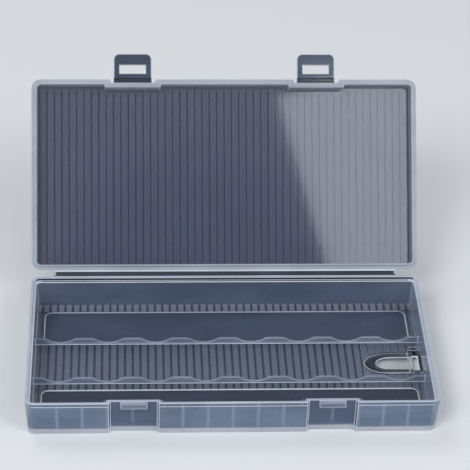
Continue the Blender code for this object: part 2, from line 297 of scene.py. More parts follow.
def makeFlowHaze():  # the slow change of milkiness that the melt leaves as it flows
    group, given, putOut = newGroup(
        "flowHaze", [("Scale", "NodeSocketFloat", 60)], ["Mask", "Height"])
    stretched = addNode(group, "ShaderNodeMapping", (-700, 100), {
        "Vector": given["Vector"], "Scale": (1, 2.2, 2.2),
    }).outputs["Vector"]
    broad = addNode(group, "ShaderNodeTexNoise", (-450, 150), {
        "Vector": stretched, "Scale": given["Scale"], "Detail": 3, "Roughness": 0.45,
    })
    finer = addMath(group, (-700, -200), "MULTIPLY", given["Scale"], 9)
    fine = addNode(group, "ShaderNodeTexNoise", (-450, -150), {
        "Vector": stretched, "Scale": finer, "Detail": 1, "Roughness": 0.4,
    })
    both = addNode(group, "ShaderNodeMix", (-200, 50), {
        "Factor": 0.1, "A": broad.outputs["Fac"], "B": fine.outputs["Fac"],
    }, data_type="FLOAT").outputs["Result"]
    spread = addRange(group, (50, 50), both, soft=True, fromMin=0.36, fromMax=0.66)
    return putOut(Mask=spread, Height=both)


def makeFineScuffs():  # hair scratches in two directions and a few dull specks
    group, given, putOut = newGroup("fineScuffs", [("Scale", "NodeSocketFloat", 240)], ["Mask"])
    strands = []
    for row, (turn, squeeze) in enumerate(((0.5, 22), (-0.95, 30))):
        lay = addNode(group, "ShaderNodeMapping", (-700, 250 - 300 * row), {
            "Vector": given["Vector"], "Rotation": (turn, 0.3 * turn, turn),
            "Scale": (1, squeeze, 1),
        })
        hairs = addNode(group, "ShaderNodeTexNoise", (-480, 250 - 300 * row), {
            "Vector": lay.outputs["Vector"], "Scale": given["Scale"], "Detail": 2,
        })
        strands.append(addRange(group, (-240, 250 - 300 * row), hairs.outputs["Fac"],
                                fromMin=0.66, fromMax=0.74))
    specks = addNode(group, "ShaderNodeTexVoronoi", (-480, -350), {
        "Vector": given["Vector"], "Scale": given["Scale"],
    })
    dots = addRange(group, (-240, -350), specks.outputs["Distance"], fromMin=0.1, fromMax=0.04)
    scratches = addMath(group, (50, 100), "MAXIMUM", *strands)
    return putOut(Mask=addMath(group, (250, 0), "MAXIMUM", scratches, dots))


def makeEdgeHighlightAndWear():  # a painted highlight that pales the rounded corners, broken up where hands and dust have worked
    group, given, putOut = newGroup(
        "edgeHighlightAndWear",
        [("Radius", "NodeSocketFloat", 0.4 * mm), ("Breakup", "NodeSocketFloat", 300)],
        ["Mask"],
    )
    rounded = addNode(group, "ShaderNodeBevel", (-650, 150), {"Radius": given["Radius"]}, samples=6)
    flat = addNode(group, "ShaderNodeNewGeometry", (-650, -50))
    match = addNode(group, "ShaderNodeVectorMath", (-430, 100), {
        0: rounded.outputs["Normal"], 1: flat.outputs["Normal"],
    }, operation="DOT_PRODUCT")
    bend = addRange(group, (-220, 100), match.outputs["Value"], fromMin=0.995, fromMax=0.85)
    patches = addNode(group, "ShaderNodeTexNoise", (-430, -200), {
        "Vector": given["Vector"], "Scale": given["Breakup"], "Detail": 4,
    })
    keep = addRange(group, (-220, -200), patches.outputs["Fac"], fromMin=0.3, fromMax=0.6,
                    toMin=0.55)
    return putOut(Mask=addMath(group, (50, 0), "MULTIPLY", bend, keep))


def makeFluteShading():  # painted shade lines across X, one for each flute where the plate is thinner, with a paler flank beside each as painted highlight
    group, given, putOut = newGroup(
        "fluteShading",
        [
            ("Pitch", "NodeSocketFloat", 3 * mm),
            ("Shift", "NodeSocketFloat", 0),
            ("Width", "NodeSocketFloat", 0.2),
        ],
        ["Mask", "Flank", "Height"],
    )
    parts = addNode(group, "ShaderNodeSeparateXYZ", (-700, 0), {"Vector": given["Vector"]})
    moved = addMath(group, (-520, 0), "SUBTRACT", parts.outputs["X"], given["Shift"])
    turns = addMath(group, (-350, 0), "DIVIDE", moved, given["Pitch"])
    saw = addMath(group, (-180, 0), "PINGPONG", turns, 0.5)  # 0 on each line, 0.5 between two
    line = addRange(group, (50, 120), saw, soft=True, fromMin=0, fromMax=given["Width"],
                    toMin=1, toMax=0)
    hump = addRange(group, (50, -150), saw, soft=True, fromMin=0, fromMax=0.5)
    wider = addMath(group, (-180, -250), "MULTIPLY", given["Width"], 2.4)
    flank = addRange(group, (50, -400), saw, soft=True, fromMin=given["Width"], fromMax=wider,
                     toMin=1, toMax=0)
    return putOut(Mask=line, Flank=flank, Height=hump)


flowHaze, fineScuffs, edgeHighlightAndWear, fluteShading = (
    makeFlowHaze(), makeFineScuffs(), makeEdgeHighlightAndWear(), makeFluteShading(),
)
print("shared effects made")


# Finishes

def tone(screen):  # screen values to linear ones
    return [((value / 255 + 0.055) / 1.055) ** 2.4 for value in screen] + [1]


def placeGroup(tree, group, place, coords, **values):
    node = addNode(tree, "ShaderNodeGroup", place, node_tree=group)
    tree.links.new(coords, node.inputs["Vector"])
    for name, value in values.items():
        node.inputs[name].default_value = value
    return node.outputs


def mixColours(tree, place, factor, *colours):  # each is a screen colour or a node's output
    first, second = (tone(value) if isinstance(value, tuple) else value for value in colours)
    inputs = {"Factor": factor, 6: first, 7: second}
    return addNode(tree, "ShaderNodeMix", place, inputs, data_type="RGBA").outputs[2]


plainLook = {  # what a finish has unless it says otherwise
    "hazeScale": 45, "scuffScale": 160, "scuffRough": 0.2, "bump": 0.1, "bumpDepth": 0.05 * mm,
    "ior": 1.49, "sink": 1,
}


def clearPlastic(name, ownLook):
    look = {**plainLook, **ownLook}
    material = bpy.data.materials.new(name)
    material.use_nodes = True
    tree = material.node_tree
    tree.nodes.clear()
    coords = addNode(tree, "ShaderNodeTexCoord", (-900, 0)).outputs["Object"]
    haze = placeGroup(tree, flowHaze, (-650, 250), coords, Scale=look["hazeScale"])
    scuffs = placeGroup(tree, fineScuffs, (-650, 0), coords, Scale=look["scuffScale"])
    colour = mixColours(tree, (-350, 250), haze["Mask"], look["deep"], look["milky"])
    height = haze["Height"]
    if "outer" in look:  # painted light: paler from outside, where it has the light on it, than from the box
        litOutside = mixColours(tree, (-350, 500), haze["Mask"], *look["outer"])
        side = addNode(tree, "ShaderNodeNewGeometry", (-350, 700)).outputs["Backfacing"]
        colour = mixColours(tree, (-100, 550), side, litOutside, colour)
    # painted shade and highlight: the line colour is dark painted shade along the flutes and pale
    # painted highlight along the front wall's ribs; the flank colour is a paler painted highlight
    # beside each flute
    if "flute" in look:
        lines = placeGroup(tree, fluteShading, (-650, -300), coords, **look["flute"])
        if "flank" in look:
            colour = mixColours(tree, (-220, 420), lines["Flank"], colour, look["flank"])
        colour = mixColours(tree, (-100, 300), lines["Mask"], colour, look["line"])
        height = addMath(tree, (-350, -300), "MULTIPLY_ADD", lines["Height"], look["sink"], height)
    # painted highlight: the rounded corners are mixed towards the pale colour
    if "edge" in look:
        cornerHighlight = placeGroup(tree, edgeHighlightAndWear, (-650, -550), coords, Radius=look["edge"])
        colour = mixColours(tree, (150, 300), cornerHighlight["Mask"], colour, look["pale"])
    rough = addRange(tree, (100, 0), scuffs["Mask"],
                     toMin=look["rough"], toMax=look["rough"] + look["scuffRough"])
    bump = addNode(tree, "ShaderNodeBump", (350, -250), {
        "Strength": look["bump"], "Distance": look["bumpDepth"], "Height": height,
    })
    shader = addNode(tree, "ShaderNodeBsdfPrincipled", (600, 0), {
        "Base Color": colour, "Roughness": rough, "Normal": bump.outputs["Normal"],
        "IOR": look["ior"], "Alpha": look["alpha"],
    })
    addNode(tree, "ShaderNodeOutputMaterial", (900, 0), {"Surface": shader.outputs["BSDF"]})


ribPitch = 9.415 * mm  # the upright ribs inside the front wall, two for each cell
lidFlutes = {"Pitch": 3 * mm, "Shift": 0, "Width": 0.23}
wallRibs = {"Pitch": ribPitch, "Shift": 0, "Width": 0.11}
trayFlutes = {"Pitch": 3 * mm, "Shift": 1.5 * mm, "Width": 0.3}

# Colours are screen values: "deep" where the melt is clear and "milky" where it is hazy
looks = {
    "floorSkin": {
        "deep": (58, 70, 94), "milky": (68, 80, 104), "alpha": 0.14, "rough": 0.09, "bump": 0.03,
    },
    "lidInside": {
        "deep": (46, 57, 83), "milky": (57, 68, 94), "alpha": 0.78, "rough": 0.05, "ior": 1.55,
        "flute": lidFlutes, "line": (35, 44, 68), "flank": (62, 73, 100), "sink": 0.4,
        "bump": 0.03, "scuffRough": 0.03,
    },
    "flutedFace": {
        "deep": (92, 101, 120), "milky": (102, 111, 130), "alpha": 0.9, "rough": 0.2,
        "flute": trayFlutes, "line": (50, 58, 76), "flank": (110, 119, 138),
    },
    "lidOutside": {
        "deep": (54, 67, 96), "milky": (66, 79, 108), "alpha": 0.76, "rough": 0.16,
        "outer": ((112, 132, 162), (130, 150, 178)),
    },
    # painted shade: the flute grooves painted darker than the faces around them
    "fluteGrooveShade": {
        "deep": (42, 50, 68), "milky": (52, 60, 78), "alpha": 0.95, "rough": 0.25,
        "outer": ((70, 85, 112), (82, 97, 124)),
    },
    "smoothPanel": {"deep": (67, 78, 99), "milky": (75, 86, 107), "alpha": 0.85, "rough": 0.12},
    # painted highlight: the pale outline round each sunk panel's step
    "panelHighlight": {"deep": (226, 232, 240), "milky": (234, 239, 246), "alpha": 0.97, "rough": 0.12},
    "seatRoof": {"deep": (60, 70, 92), "milky": (70, 80, 102), "alpha": 0.12, "rough": 0.08},
    # wallSkin's pale is the painted highlight on its rounded corners
    "wallSkin": {
        "deep": (120, 141, 168), "milky": (138, 158, 184), "alpha": 0.54, "rough": 0.14,
        "edge": 0.5 * mm, "pale": (196, 203, 214),
    },
    # frontSkin's line is a pale painted highlight where the ribs inside the wall stand
    "frontSkin": {
        "deep": (105, 121, 145), "milky": (119, 135, 160), "alpha": 0.8, "rough": 0.14,
        "flute": wallRibs, "line": (134, 150, 176), "sink": 0,
    },
    "wallInside": {
        "deep": (82, 96, 120), "milky": (92, 107, 132), "alpha": 0.85, "rough": 0.12, "bump": 0.05,
    },
    "recessSkin": {"deep": (86, 103, 130), "milky": (98, 115, 142), "alpha": 0.62, "rough": 0.14},
    "catchSkin": {"deep": (156, 165, 182), "milky": (168, 177, 193), "alpha": 0.8, "rough": 0.18},
    "catchCore": {"deep": (112, 122, 142), "milky": (124, 134, 155), "alpha": 0.8, "rough": 0.18},
    # painted highlight: the tray's and the lid's rims painted pale where the light catches them
    "rimHighlight": {"deep": (168, 177, 192), "milky": (182, 190, 204), "alpha": 0.88, "rough": 0.22},
    "lidRimHighlight": {"deep": (161, 168, 180), "milky": (173, 180, 192), "alpha": 0.87, "rough": 0.28},
    # painted shade: the back shelf and the lip's side painted dark
    "shelfShade": {"deep": (36, 44, 61), "milky": (46, 54, 71), "alpha": 0.94, "rough": 0.36},
    # painted highlight: near white on the rounded edges, the shelf's chamfer and thin bands such as
    # the front ledge line
    "edgeSkin": {"deep": (212, 219, 230), "milky": (224, 230, 239), "alpha": 0.88, "rough": 0.12},
    "ribSkin": {"deep": (130, 141, 164), "milky": (146, 157, 179), "alpha": 0.7, "rough": 0.14},
    # painted shade: the front sunk panel, a darker copy of the back one
    "frontPanelShade": {"deep": (14, 30, 56), "milky": (22, 38, 64), "alpha": 0.92, "rough": 0.12},
    # painted highlight: the cradle ribs' rounds, dimmer than the other edges
    "ribEdge": {"deep": (150, 160, 179), "milky": (164, 174, 192), "alpha": 0.82, "rough": 0.14},
    # painted highlight: the pale band along the foot
    "footHighlight": {"deep": (186, 191, 199), "milky": (196, 201, 209), "alpha": 0.84, "rough": 0.2},
    # painted light: the end ledges are painted pale where they lie in shade
    "endLedgeHighlight": {"deep": (188, 195, 207), "milky": (200, 206, 217), "alpha": 0.92, "rough": 0.22},
    # painted light: the lid's inner end walls painted paler against their shade
    "lidWallLit": {"deep": (150, 163, 184), "milky": (164, 176, 197), "alpha": 0.8, "rough": 0.16},
    # painted light: the end walls' inner faces, a paler copy of wallInside
    "endInsideLit": {
        "deep": (130, 145, 172), "milky": (142, 157, 184), "alpha": 0.88, "rough": 0.14,
        "bump": 0.05,
    },
    # painted highlight: the ribs inside the front wall painted near white
    "wallRib": {"deep": (204, 215, 231), "milky": (216, 226, 240), "alpha": 0.88, "rough": 0.16},
    # painted light: the floor strip at the back painted paler where it lies in shade, with painted
    # flute lines
    "backBandLight": {
        "deep": (116, 123, 140), "milky": (126, 133, 150), "alpha": 0.74, "rough": 0.16,
        "flute": trayFlutes, "line": (50, 58, 78), "flank": (132, 139, 155),
    },
    "tonguePocket": {"deep": (78, 90, 112), "milky": (92, 103, 125), "alpha": 0.8, "rough": 0.16},
    "tabSkin": {"deep": (48, 59, 81), "milky": (64, 75, 97), "alpha": 0.87, "rough": 0.14},
    # painted highlight: the tabs' rounds and slot sides
    "tabEdgeHighlight": {"deep": (182, 190, 204), "milky": (196, 203, 216), "alpha": 0.92, "rough": 0.14},
    "filmSkin": {"deep": (34, 41, 56), "milky": (50, 58, 74), "alpha": 0.92, "rough": 0.1},
    # painted shade and highlight: the loop's body painted dark, its rounds and rims painted near
    # white
    "loopBodyShade": {
        "deep": (22, 29, 42), "milky": (34, 41, 56), "alpha": 0.74, "rough": 0.04, "ior": 1.55,
        "bump": 0.04, "hazeScale": 90, "scuffScale": 300,
    },
    "loopEdgeHighlight": {
        "deep": (236, 240, 245), "milky": (246, 248, 251), "alpha": 0.95, "rough": 0.05,
        "ior": 1.55, "bump": 0.04, "hazeScale": 90, "scuffScale": 300,
    },
}
for finishName, finishLook in looks.items():
    clearPlastic(finishName, finishLook)
print("finishes made")


# Tray

tray = {
    "middle": hingeAxis.y - 40 * mm,
    "halfLength": 78 * mm,
    "floorTop": 3 * mm,
    "floorUnder": 1.8 * mm,
    "panelDepth": 0.45 * mm,
    "fluteDepth": 0.3 * mm,
    "grooveEnd": 36.4 * mm,
    "shelf": 14.5 * mm,
    "shelfFront": 30 * mm,
    "shelfChamfer": 0.18 * mm,
    "top": 15.8 * mm,
    "endWall": 3.3 * mm,
    "wallsFrom": 34 * mm,  # from the tray's middle to its inner walls, outer walls and front face
    "outsideFrom": 36 * mm,
    "frontFrom": 38 * mm,
    "edgeRound": 0.18 * mm,
    "footBand": 2.75 * mm,
    "panelHighlight": 0.8 * mm,
    "panelEndLine": 0.5 * mm,
    "panelNearBack": 12.5 * mm,
    "panelNearFront": 14.9 * mm,
    "panelFar": 32.5 * mm,
    "panelEnd": 70.45 * mm,
    "panelCorner": 2.4 * mm,
    "bandStart": 31.7 * mm,
    "endRim": 4 * mm,
    "endRimReach": 35 * mm,
    "ledgeLine": (14 * mm, 14.35 * mm),
    "latchOffset": 37.2 * mm,
    "recessHalf": 9.2 * mm,
    "recessSlope": 0.6 * mm,
    "recessFace": 37.9 * mm,
    "catchHalf": 5.05 * mm,
    "catchUnder": 12.8 * mm,
    "catchRoot": 37.3 * mm,
    "catchBorder": 0.55 * mm,
    "catchCore": 1 * mm,
    "cradleReach": 14 * mm,
    "cradleEnd": 2.6 * mm,
    "ribHeight": 2.7 * mm,
    "crestEnd": 3 * mm,
    "crestRound": 0.9 * mm,
    "wallRibHalf": 0.62 * mm,
    "wallRibFoot": (36.35 * mm, 35.05 * mm),  # at the wall, and behind a recess
    "wallRibRows": 7.5,
    "wallRibArea": 14 * mm * mm,
    "behindRecess": 8.6 * mm,
    "seatFrom": 52 * mm,
    "seatHalf": 6.5 * mm,
    "finishes": (
        "wallSkin", "floorSkin", "flutedFace", "fluteGrooveShade", "smoothPanel", "rimHighlight",
        "shelfShade", "ribSkin", "seatRoof", "edgeSkin", "wallInside", "recessSkin", "catchSkin",
        "panelHighlight", "wallRib", "backBandLight", "frontPanelShade", "ribEdge", "footHighlight", "endInsideLit",
        "endLedgeHighlight", "catchCore", "frontSkin",
    ),
}


def forward(place):  # how far it lies in front of the tray's middle
    return tray["middle"] - place.y


def fromMiddle(place):
    return abs(place.y - tray["middle"])


def fromLatch(place):  # how far it lies along x from the nearer latch
    return abs(abs(place.x) - tray["latchOffset"])


def isRecess(place, normal):  # the front wall's outer face, at the two latch recesses
    return (normal.y < -0.9 and forward(place) > tray["outsideFrom"]
            and fromLatch(place) < tray["recessHalf"])


def isCatch(place, normal):
    return (fromLatch(place) < tray["catchHalf"] + slight and forward(place) > tray["catchRoot"]
            and place.z > tray["catchUnder"] - slight)


def isPanelEdge(place):  # the steps round the two sunk panels
    away = fromMiddle(place)
    near = tray["panelNearBack"] if place.y > tray["middle"] else tray["panelNearFront"]
    far = tray["panelFar"]
    toLine = min(abs(away - near), abs(away - far))
    toEnd = abs(abs(place.x) - tray["panelEnd"])
    return (toLine < 0.3 * mm and abs(place.x) < tray["panelEnd"]
            or toEnd < tray["panelCorner"] and near < away < far)


def isWallRib(place):  # an upright rib inside the front wall
    row = place.x / ribPitch
    foot = tray["wallRibFoot"][fromLatch(place) < tray["behindRecess"]]
    return (abs(row) < tray["wallRibRows"]
            and abs(row - round(row)) * ribPitch < tray["wallRibHalf"]
            and foot - 0.6 * mm < forward(place) < foot + 0.2 * mm
            and tray["floorTop"] + 0.1 * mm < place.z < tray["shelf"] - 0.1 * mm)


def keepSharp(first, second):  # these edges get no round, since it would have no room
    acrossEnd = abs(first.x - second.x) < 1 * mm

    def atStep(place):  # where the flutes run out into the panels
        return place.z < 2.2 * mm and isPanelEdge(place)

    def atFloor(place):  # where the walls meet the floor
        nearEnd = abs(place.x) > tray["halfLength"] - tray["endWall"] - 0.1 * mm
        return (abs(place.z - tray["floorTop"]) < tiny
                and (fromMiddle(place) > tray["wallsFrom"] or (acrossEnd and nearEnd)))

    def atUnderside(place):  # under the recesses, where the foot is narrow
        return (place.z < 0.01 * mm and forward(place) > tray["wallsFrom"]
                and fromLatch(place) < tray["recessHalf"] + tray["recessSlope"])

    return 0 if any(test(first) and test(second) for test in (atStep, atFloor, atUnderside)) else 1


def softenShelf(piece):  # a chamfer along the shelf's inner edge, painted pale as a highlight where it catches the light
    def meetsWall(first, second, pair):
        return (max(abs(first.z - tray["shelf"]), abs(second.z - tray["shelf"])) < slight
                and max(forward(first), forward(second)) < tray["shelfFront"]
                and any(face.center.z < tray["shelf"] - slight for face in pair))

    selectEdges(piece, facesByEdge(piece.data), meetsWall)
    bpy.ops.mesh.bevel(offset=tray["shelfChamfer"], segments=1, affect="EDGES", clamp_overlap=False)
    bpy.ops.object.mode_set(mode="OBJECT")
    low = tray["shelf"] - tray["shelfChamfer"]
    finishFaces(piece, "edgeSkin",
                lambda p, n: low < p.z < tray["shelf"] - slight and 0.4 < n.z < 0.95)


def roundCrests(piece):  # the corners between each dip and the flat crests beside it
    crest = tray["floorTop"] + tray["ribHeight"]

    def isCrest(first, second, pair):
        return (max(abs(first.z - crest), abs(second.z - crest)) < slight
                and abs(first.x - second.x) < 0.01 * mm
                and abs(first.x) < tray["halfLength"] - tray["crestEnd"]
                and min(face.normal.z for face in pair) > 0.3)

    selectEdges(piece, facesByEdge(piece.data), isCrest)
    bpy.ops.mesh.bevel(offset=tray["crestRound"], segments=3, affect="EDGES", clamp_overlap=False)
    bpy.ops.object.mode_set(mode="OBJECT")


def makeTray():
    cuts = [(isRecess, (0, 0, tray["catchUnder"]), Vector((0, 0, 1)))]
    for side in (-1, 1):
        for edge in (-1, 1):
            x = side * tray["latchOffset"] + edge * tray["catchHalf"]
            cuts.append((isRecess, (x, 0, 0), Vector((1, 0, 0))))
    piece = solidCopy("base_tray", "trayShell", tray["finishes"], cuts)
    floorTop, under, shelf, top = (tray[key] for key in ("floorTop", "floorUnder", "shelf", "top"))
    panel = under + tray["panelDepth"]
    groove = under + tray["fluteDepth"]
    inner = tray["halfLength"] - tray["endWall"]
    endRim = tray["halfLength"] - tray["endRim"]
    lineLow, lineHigh = tray["ledgeLine"]

    def isLevel(normal):
        return abs(normal.z) > 0.98

    def atEnd(place, normal):
        return abs(place.x) > inner and abs(normal.x) > 0.7

    def isOuterWall(place, normal):
        return abs(normal.z) < 0.9 and (abs(place.x) > inner + 1 * mm
                                        or fromMiddle(place) > tray["outsideFrom"])

    def isFront(place, normal):
        return normal.y < -0.9 and forward(place) > tray["frontFrom"]

    def isCatchFront(place, normal):
        return isCatch(place, normal) and normal.y < -0.9

    def overSeat(place):
        return place.x > tray["seatFrom"] and fromMiddle(place) < tray["seatHalf"]

    def isRoof(place, normal):  # level with the sunk panels, over the loop's seat too
        return isLevel(normal) and abs(place.z - panel) < tiny

    def isPanel(place, normal):
        return isRoof(place, normal) and not overSeat(place)

    def isFloor(place, normal):
        return normal.z > 0.98 and abs(place.z - floorTop) < tiny

    def isRim(place, normal):  # the rim's top and the step inside it
        return normal.z > 0.98 and place.z > shelf - tiny

    def facesIn(place, normal):
        away = Vector((place.x, place.y - tray["middle"], 0))
        return abs(normal.z) < 0.3 and normal.dot(away) < 0 and place.z > floorTop

    def onCradle(place):
        return fromMiddle(place) < tray["cradleReach"]

    def inGroove(place, normal):
        return (under + slight < place.z < groove + tiny and abs(place.x) < inner
                and (normal.z > -0.995 or place.z > under + 0.15 * mm)
                and fromMiddle(place) < tray["grooveEnd"] and not isPanelEdge(place))

    cutFaces(piece, isOuterWall, (0, 0, tray["footBand"]), (0, 0, 1))
    for level in tray["ledgeLine"]:
        cutFaces(piece, isFront, (0, 0, level), (0, 0, 1))
    for side in (-1, 1):
        cutFaces(piece, isRim, (side * endRim, 0, 0), (1, 0, 0))
    cutFaces(piece, isFloor, (0, tray["middle"] + tray["bandStart"], 0), (0, 1, 0))
    # a band round each sunk panel is painted pale as a highlight
    editWith(piece, isPanel)
    bpy.ops.mesh.inset(thickness=tray["panelHighlight"])
    stretch = (tray["panelEnd"] - tray["panelEndLine"]) / (tray["panelEnd"] - tray["panelHighlight"])
    bpy.ops.transform.resize(value=(stretch, 1, 1), center_override=(0, 0, 0))
    bpy.ops.object.mode_set(mode="OBJECT")
    insides = [face.index for face in piece.data.polygons if face.select]
    finishFaces(piece, "panelHighlight", isPanel)
    for index in insides:
        face = piece.data.polygons[index]
        # the front panel takes the darker copy as painted shade
        name = "smoothPanel" if face.center.y > tray["middle"] else "frontPanelShade"
        face.material_index = piece.data.materials.find(name)
    for name, test in (
        ("wallInside", lambda p, n: facesIn(p, n) and (abs(p.x) > inner
                                                       or fromMiddle(p) > tray["wallsFrom"])),
        # the end walls' inner faces take the paler painted light
        ("endInsideLit", lambda p, n: facesIn(p, n) and atEnd(p, n)),
        ("floorSkin", isFloor),
        # the back strip takes the paler painted light
        ("backBandLight", lambda p, n: isFloor(p, n) and -forward(p) > tray["bandStart"]),
        ("flutedFace", lambda p, n: n.z < -0.98 and abs(p.z - under) < tiny),
        ("seatRoof", lambda p, n: isRoof(p, n) and overSeat(p)),
        # the rim's inner riser and top are painted pale as a highlight
        ("rimHighlight", lambda p, n: facesIn(p, n) and p.z > shelf),
        # the lip's side and the shelf take the dark painted shade
        ("shelfShade", lambda p, n: facesIn(p, n) and p.z > shelf and n.y < -0.7),
        ("rimHighlight", lambda p, n: p.z > top - tiny and isLevel(n)),
        ("shelfShade", lambda p, n: abs(p.z - shelf) < tiny and isLevel(n)),
        # the end ledges take the pale painted light
        ("endLedgeHighlight", lambda p, n: isRim(p, n) and p.z < top - tiny and abs(p.x) > endRim),
        ("endLedgeHighlight", lambda p, n: facesIn(p, n) and p.z > shelf and abs(n.x) > 0.7),
        # the foot band is painted pale as a highlight
        ("footHighlight", lambda p, n: isOuterWall(p, n) and p.z < tray["footBand"]),
        ("ribSkin", lambda p, n: floorTop + tiny < p.z < floorTop + 4 * mm and onCradle(p)
            and abs(p.x) < tray["halfLength"] - tray["cradleEnd"]),
        ("recessSkin", lambda p, n: isRecess(p, n) and forward(p) < tray["recessFace"]
            and p.z > tray["footBand"]),
        ("frontSkin", lambda p, n: isFront(p, n) and tray["footBand"] < p.z < lineLow),
        # the front ledge band is painted pale as a highlight line
        ("edgeSkin", lambda p, n: isFront(p, n) and lineLow < p.z < lineHigh),
    ):
        finishFaces(piece, name, test)
    editWith(piece, isCatchFront)
    bpy.ops.mesh.inset(thickness=tray["catchBorder"])
    bpy.ops.object.mode_set(mode="OBJECT")
    softenShelf(piece)
    roundCrests(piece)
    # the rounds are painted pale as highlights
    roundEdges(piece, tray["edgeRound"], "edgeSkin", most=keepSharp)
    coreLow, coreHigh = tray["catchUnder"] + tray["catchBorder"], top - tray["catchCore"]
    for name, test in (
        ("catchSkin", isCatch),
        ("catchCore", lambda p, n: isCatchFront(p, n) and fromLatch(p) < tray["catchCore"]
            and coreLow < p.z < coreHigh),
        # the end rims are painted pale as painted light
        ("endLedgeHighlight", lambda p, n: shelf - 0.35 * mm < p.z < top - 0.3 * mm and abs(p.x) > endRim
            and fromMiddle(p) < tray["endRimReach"]),
    ):
        finishFaces(piece, name, test)
    slotOf = piece.data.materials.find
    for face in piece.data.polygons:
        place = face.center
        # rib rounds and the front wall's ribs take painted highlights
        if (face.material_index == slotOf("edgeSkin") and onCradle(place) and abs(place.x) < inner
                and place.z > floorTop + 0.25 * mm):
            face.material_index = slotOf("ribEdge")
        if isWallRib(place) and face.area < tray["wallRibArea"]:
            face.material_index = slotOf("wallRib")
    # the grooves take the dark painted shade
    finishFaces(piece, "fluteGrooveShade", inGroove)
    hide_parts("base_tray")
    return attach(piece, "tray")


makeTray()
print("tray made")


# Lid

lid = {
    "plateInside": 6.55 * mm,
    "plateOutside": 7.65 * mm,
    "fluteDepth": 0.3 * mm,
    "fluteRange": (3.5 * mm, 75.5 * mm),
    "fluteEnd": 75.6 * mm,
    "fluteRows": 25,
    "rimBand": 0.6 * mm,
    "pocketHalf": 5.65 * mm,
    "pocketRange": (73 * mm, 76.1 * mm),
    "edgeRound": 0.16 * mm,
    "finishes": ("wallSkin", "lidInside", "lidOutside", "fluteGrooveShade", "lidRimHighlight", "edgeSkin",
                 "tonguePocket", "lidWallLit"),
}


def makeLid():
    def deep(place):
        return lidPlace(place)[2]

    def faces(normal):
        return normal.dot(outOfLid)

    def isOutside(place, normal):
        return faces(normal) > 0.98 and abs(deep(place) - lid["plateOutside"]) < tiny

    def isInside(place, normal):
        return faces(normal) < -0.98 and abs(deep(place) - lid["plateInside"]) < tiny

    def isEndWall(place, normal):
        return normal.x * place.x < -0.7 * abs(place.x) and deep(place) < lid["plateInside"]

    def inPocket(place, normal):
        near, far = lid["pocketRange"]
        return (deep(place) < lid["rimBand"] and near < lidPlace(place)[1] < far
                and fromLatch(place) < lid["pocketHalf"])

    def inGroove(place, normal):
        near, far = lid["fluteRange"]
        groove, face = lid["plateOutside"] - lid["fluteDepth"], lid["plateOutside"]
        return (groove - tiny < deep(place) < face - slight
                and (faces(normal) < 0.995 or deep(place) < face - 0.15 * mm)
                and near < lidPlace(place)[1] < far and abs(place.x) < lid["fluteEnd"])

    cuts = [(isOutside, (row * lidFlutes["Pitch"], 0, 0), Vector((1, 0, 0)))
            for row in range(-lid["fluteRows"], lid["fluteRows"])]
    piece = solidCopy("lid", "lidShell", lid["finishes"], cuts)
    finishFaces(piece, "lidInside", isInside)
    finishFaces(piece, "lidOutside", isOutside)
    # the lid's end walls take the paler painted light
    finishFaces(piece, "lidWallLit", isEndWall)
    # the lid's rounds are painted pale as highlights
    roundEdges(piece, lid["edgeRound"], "edgeSkin", hollows=False)
    # the lid's rim band is painted pale as a highlight
    finishFaces(piece, "lidRimHighlight", lambda p, n: deep(p) < lid["rimBand"])
    finishFaces(piece, "tonguePocket", inPocket)
    # the lid's grooves take the dark painted shade
    finishFaces(piece, "fluteGrooveShade", inGroove)
    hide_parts("lid")
    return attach(piece, "lid")


makeLid()
print("lid made")


# Living hinge

hinge = {
    "length": 138.4 * mm,
    "thickness": 0.5 * mm,
    "reach": 3 * mm,
    "gap": 0.3 * mm,
    "steps": 12,
    "edgeRound": 0.12 * mm,
    "endDip": 0.9 * mm,
    "highlightShare": 0.2,
}


def makeHingeWeb():
    bend = pi - openAngle
    free = hinge["reach"] / 2 - hinge["gap"]
    rise = free / tan(bend / 2)
    middle = rise + hinge["gap"] / 2 + hinge["thickness"] / 2
    centre = hingeAxis + Vector((0, -free, rise))
    root = centre + Vector((0, 0, -middle))
    bpy.ops.mesh.primitive_plane_add(size=1, location=root, rotation=(pi / 2, 0, 0))
    piece = bpy.context.object
    piece.name = piece.data.name = "hingeWeb"
    piece.scale = (hinge["length"], hinge["thickness"], 1)
    settle(piece)
    editAll(piece)
    bpy.ops.mesh.spin(steps=hinge["steps"], angle=-bend, center=centre, axis=(1, 0, 0))
    bpy.ops.object.mode_set(mode="OBJECT")
    editWith(piece, lambda p, n: abs(p.y - root.y) < slight)
    bpy.ops.mesh.extrude_region_move(TRANSFORM_OT_translate={"value": (0, -hinge["gap"], 0)})
    bpy.ops.object.mode_set(mode="OBJECT")
    tip = centre + Matrix.Rotation(bend, 3, "X") @ (root - centre)
    along = Matrix.Rotation(bend, 3, "X") @ Vector((0, 1, 0))
    editWith(piece, lambda p, n: abs((p - tip).dot(along)) < slight)
    bpy.ops.mesh.extrude_region_move(TRANSFORM_OT_translate={"value": along * hinge["gap"]})
    bpy.ops.mesh.select_all(action="SELECT")
    bpy.ops.mesh.remove_doubles(threshold=mergeDistance / 2)
    bpy.ops.mesh.normals_make_consistent(inside=False)
    bpy.ops.object.mode_set(mode="OBJECT")
    dress(piece, ("filmSkin", "edgeSkin"))

    def turned(place):  # how far round the bend it lies, from 0 at the tray to 1 at the lid
        return (place - centre).yz.angle((root - centre).yz) / bend

    for vertex in piece.data.vertices:  # the ends are drawn in where the film bends
        dip = hinge["endDip"] / (hinge["length"] / 2)
        vertex.co.x *= 1 - dip * sin(pi * min(max(turned(vertex.co), 0), 1))
    roundEdges(piece, hinge["edgeRound"], "edgeSkin")
    # the lid end of the hinge film is painted pale as a highlight
    finishFaces(piece, "edgeSkin", lambda p, n: turned(p) > 1 - hinge["highlightShare"])
    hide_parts("lid_hinge_film")
    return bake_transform(piece)


